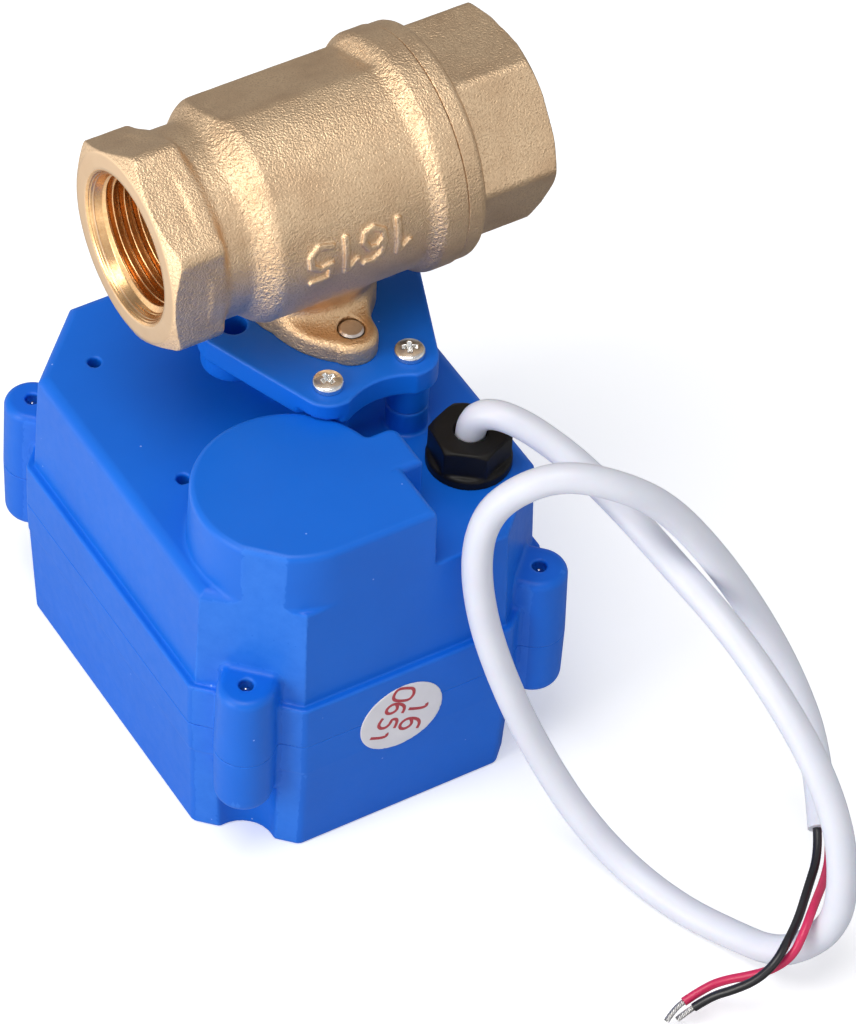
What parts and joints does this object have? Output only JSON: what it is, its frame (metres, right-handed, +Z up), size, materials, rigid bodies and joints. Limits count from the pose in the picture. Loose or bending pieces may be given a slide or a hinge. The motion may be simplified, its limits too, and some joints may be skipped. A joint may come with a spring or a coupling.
{
  "type": "motorized shut-off valve",
  "caption": "Brass ball valve with threaded ends on a geared electric actuator in a moulded case, with a cable gland and a cut cable with two tinned wires.",
  "frame": {"origin": "on the actuator's flat base plane, where the valve's stem axis meets it", "axes": "+X along the pipe towards the screwed end cap, +Z up from the base through the stem to the pipe, +Y away from the side with the cable gland and the motor block"},
  "size_m": [0.0805, 0.1325, 0.1021],
  "materials": {
    "cast_brass": "sand-cast, bead-blasted",
    "chromed_ball": "polished chrome plate",
    "stem_steel": "turned stainless steel",
    "seat_ptfe": "plain white",
    "seal_rubber": "smooth moulded",
    "blue_abs": "fine moulded satin",
    "screw_steel": "bright nickel plate",
    "black_nylon": "moulded satin",
    "white_pvc": "soft satin cable sheath",
    "red_pvc": "wire insulation",
    "black_pvc": "wire insulation",
    "tinned_copper": "twisted and tinned",
    "silver_label": "plain silvered film",
    "motor_can": "zinc-plated can",
    "gear_acetal": "natural acetal",
    "gear_steel": "machined",
    "frame_steel": "zinc-plated sheet",
    "switch_black": "moulded",
    "button_red": "moulded",
    "board_green": "solder mask",
    "board_part": "moulded components"
  },
  "bodies": {
    "case": {"valve_body": "cast_brass", "end_cap": "cast_brass", "body_gasket": "seal_rubber", "ball_seats": "seat_ptfe", "thrust_washer": "seat_ptfe", "mounting_plate": "blue_abs", "plate_screws": "screw_steel", "flange_screws": "screw_steel", "upper_case": "blue_abs", "lower_case": "blue_abs", "case_seal": "seal_rubber", "case_screws": "screw_steel", "cable_gland": "black_nylon", "gland_lock_nut": "black_nylon", "cable_grommet": "seal_rubber", "cable_tail": "white_pvc", "cable": "white_pvc", "red_wire": "red_pvc", "black_wire": "black_pvc", "red_wire_tip": "tinned_copper", "black_wire_tip": "tinned_copper", "sticker": "silver_label", "gear_motor": "motor_can", "motor_screws": "screw_steel", "shaft_seal": "seal_rubber", "gear_axles": "stem_steel", "lower_frame_plate": "frame_steel", "upper_frame_plate": "frame_steel", "frame_pillars": "frame_steel", "frame_screws": "screw_steel", "open_switch": "switch_black", "closed_switch": "switch_black", "circuit_board": "board_green", "board_parts": "board_part", "board_screws": "screw_steel"},
    "valve_turn": {"valve_ball": "chromed_ball", "valve_stem": "stem_steel", "stem_rings": "seal_rubber", "output_shaft": "stem_steel", "output_gear": "gear_steel", "limit_cam": "gear_acetal"},
    "second_gear": {"second_gear": "gear_acetal"},
    "first_gear": {"first_gear": "gear_acetal"},
    "motor_rotor": {"motor_pinion": "gear_steel"},
    "open_button": {"open_switch_button": "button_red"},
    "closed_button": {"closed_switch_button": "button_red"}
  },
  "joints": [
    {"name": "valve_turn", "type": "hinge", "parent": "case", "child": "valve_turn", "pos_m": [0, 0, 0.0842], "axis": [0, 0, 1], "range_deg": [0, 90]},
    {"name": "second_gear_turn", "type": "hinge", "parent": "case", "child": "second_gear", "pos_m": [-0.01841, -0.00782, 0.011], "axis": [0, 0, 1], "range_deg": [-290, 5]},
    {"name": "first_gear_turn", "type": "hinge", "parent": "case", "child": "first_gear", "pos_m": [-0.00881, -0.02086, 0.017], "axis": [0, 0, 1], "range_deg": [-5, 1005]},
    {"name": "motor_turn", "type": "hinge", "parent": "case", "child": "motor_rotor", "pos_m": [-0.0191, -0.0288, 0.0194], "axis": [0, 0, 1], "range_deg": [-3340, 10]},
    {"name": "open_button_slide", "type": "slide", "parent": "case", "child": "open_button", "axis": [0, 1, 0], "range_m": [0, 0.0004], "stiffness_N_per_m": 500},
    {"name": "closed_button_slide", "type": "slide", "parent": "case", "child": "closed_button", "axis": [-1, 0, 0], "range_m": [0, 0.0004], "stiffness_N_per_m": 500}
  ],
  "couplings": [
    {"joint": "second_gear_turn", "follows": "valve_turn", "ratio": -3.1667},
    {"joint": "first_gear_turn", "follows": "valve_turn", "ratio": 11.083},
    {"joint": "motor_turn", "follows": "valve_turn", "ratio": -36.944}
  ]
}
